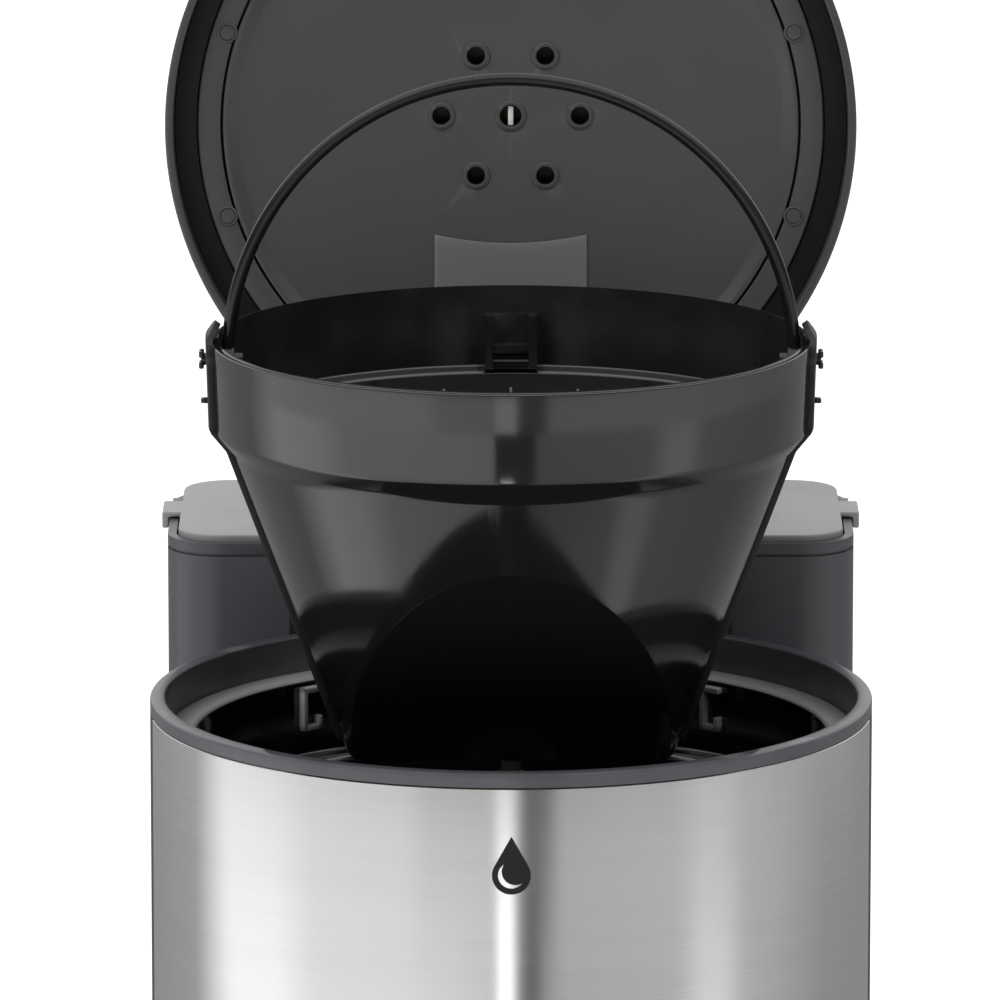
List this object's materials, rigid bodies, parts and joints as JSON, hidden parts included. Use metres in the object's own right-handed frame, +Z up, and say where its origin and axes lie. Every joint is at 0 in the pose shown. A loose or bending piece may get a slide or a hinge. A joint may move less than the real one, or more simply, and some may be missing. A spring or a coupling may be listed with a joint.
{
  "type": "drip coffee maker",
  "caption": "Drip coffee maker with a round brushed-steel head, a lidded brew chamber, a lift-out filter basket with a bail, a rear water tank and a glass jug on a warming plate.",
  "frame": {"origin": "centre of the object's bounding box in plan, at the height of the surface that the feet stand on", "axes": "+Z up, -Y towards the front where the jug's handle is, +X to the right seen from the front"},
  "size_m": [0.1766, 0.26, 0.5094],
  "materials": {
    "rubber": "matt black",
    "dark_plastic": "fine satin texture",
    "steel": "zinc plated",
    "sleeve_steel": "brushed around the body",
    "plate_enamel": "dark non-stick coating",
    "seal_silicone": "black silicone",
    "aluminium": "extruded",
    "element_metal": "heat stained",
    "ceramic": "unglazed",
    "board": "green lacquered board",
    "ring_plastic": "anthracite, semi gloss",
    "bail_plastic": "black, glossy",
    "lens": "clear lens",
    "hose_silicone": "translucent silicone",
    "white_plastic": "natural white",
    "tower_plastic": "anthracite, satin",
    "window": "clear plastic",
    "tank_plastic": "smoke grey",
    "cover_plastic": "light grey, fine satin",
    "emblem_print": "black print",
    "chamber_plastic": "black, polished",
    "hinge_steel": "polished",
    "lid_plastic": "dark grey, semi gloss",
    "lid_plate_plastic": "grey, glossy",
    "basket_plastic": "dark grey, glossy",
    "red_silicone": "red silicone",
    "jug_glass": "clear heat-proof glass"
  },
  "bodies": {
    "root": {"rubber_feet": "rubber", "base_plate": "dark_plastic", "base_screws": "steel", "base_housing": "dark_plastic", "base_sleeve": "sleeve_steel", "cord_gland": "rubber", "warming_plate": "plate_enamel", "plate_seal": "seal_silicone", "heater_tube": "aluminium", "heating_element": "element_metal", "heater_clamp": "steel", "clamp_screw": "steel", "thermostat": "ceramic", "control_board": "board", "switch_body": "dark_plastic", "button_bezel": "ring_plastic", "indicator_lens": "lens", "cold_hose": "hose_silicone", "check_valve": "white_plastic", "feed_hose": "hose_silicone", "riser_tube": "hose_silicone", "tower_housing": "tower_plastic", "level_window": "window", "water_tank": "tank_plastic", "outlet_screen": "steel", "head_housing": "dark_plastic", "head_screws": "steel", "head_sleeve": "sleeve_steel", "emblem": "emblem_print", "head_bottom": "dark_plastic", "brew_chamber": "chamber_plastic", "head_ring": "ring_plastic", "hinge_block": "tower_plastic", "hinge_pin": "hinge_steel", "water_spout": "dark_plastic"},
    "lid": {"lid_shell": "lid_plastic", "lid_seal": "seal_silicone", "lid_plate_ring": "lid_plate_plastic", "lid_stakes": "lid_plate_plastic", "lid_shower_plate": "lid_plate_plastic", "lid_inlet_duct": "lid_plate_plastic"},
    "basket": {"basket_shell": "basket_plastic", "filter_clip": "basket_plastic", "bail_pins": "bail_plastic", "valve_cage": "white_plastic", "valve_spring": "steel"},
    "bail": {"bail_handle": "bail_plastic"},
    "valve": {"drip_valve": "white_plastic", "valve_seal": "red_silicone"},
    "button": {"power_button": "bail_plastic"},
    "jug": {"jug_glass": "jug_glass", "jug_band": "sleeve_steel", "jug_handle": "dark_plastic", "jug_screw": "steel"},
    "jug_cap": {"jug_lid": "dark_plastic", "jug_lid_seal": "seal_silicone"},
    "cover": {"tank_cover": "cover_plastic"}
  },
  "joints": [
    {"name": "lid_hinge", "type": "hinge", "parent": "root", "child": "lid", "pos_m": [0, 0.089, 0.314], "axis": [1, 0, 0], "range_deg": [0, 95]},
    {"name": "basket_lower", "type": "slide", "parent": "root", "child": "basket", "axis": [0, 0, -1], "range_m": [0, 0.094]},
    {"name": "bail_fold", "type": "hinge", "parent": "basket", "child": "bail", "pos_m": [0, -0.019, 0.383], "axis": [1, 0, 0], "range_deg": [0, 90]},
    {"name": "drip_valve_lift", "type": "slide", "parent": "basket", "child": "valve", "axis": [0, 0, 1], "range_m": [0, 0.004], "stiffness_N_per_m": 250, "springref_m": -0.004, "deforming": ["valve_spring"]},
    {"name": "power_button_press", "type": "slide", "parent": "root", "child": "button", "axis": [0, 1, 0], "range_m": [0, 0.0025], "stiffness_N_per_m": 400, "springref_m": -0.003},
    {"name": "jug_slide", "type": "slide", "parent": "root", "child": "jug", "axis": [0, -1, 0], "range_m": [0, 0.22]},
    {"name": "jug_lid_twist", "type": "hinge", "parent": "jug", "child": "jug_cap", "pos_m": [0, -0.019, 0.1722], "axis": [0, 0, 1], "range_deg": [0, 60]},
    {"name": "tank_cover_slide", "type": "slide", "parent": "root", "child": "cover", "axis": [0, 1, 0], "range_m": [0, 0.06]}
  ],
  "couplings": [
    {"joint": "basket_lower", "follows": "lid_hinge", "m_per_rad": 0.056693},
    {"joint": "bail_fold", "follows": "lid_hinge", "ratio": 0.94737}
  ]
}
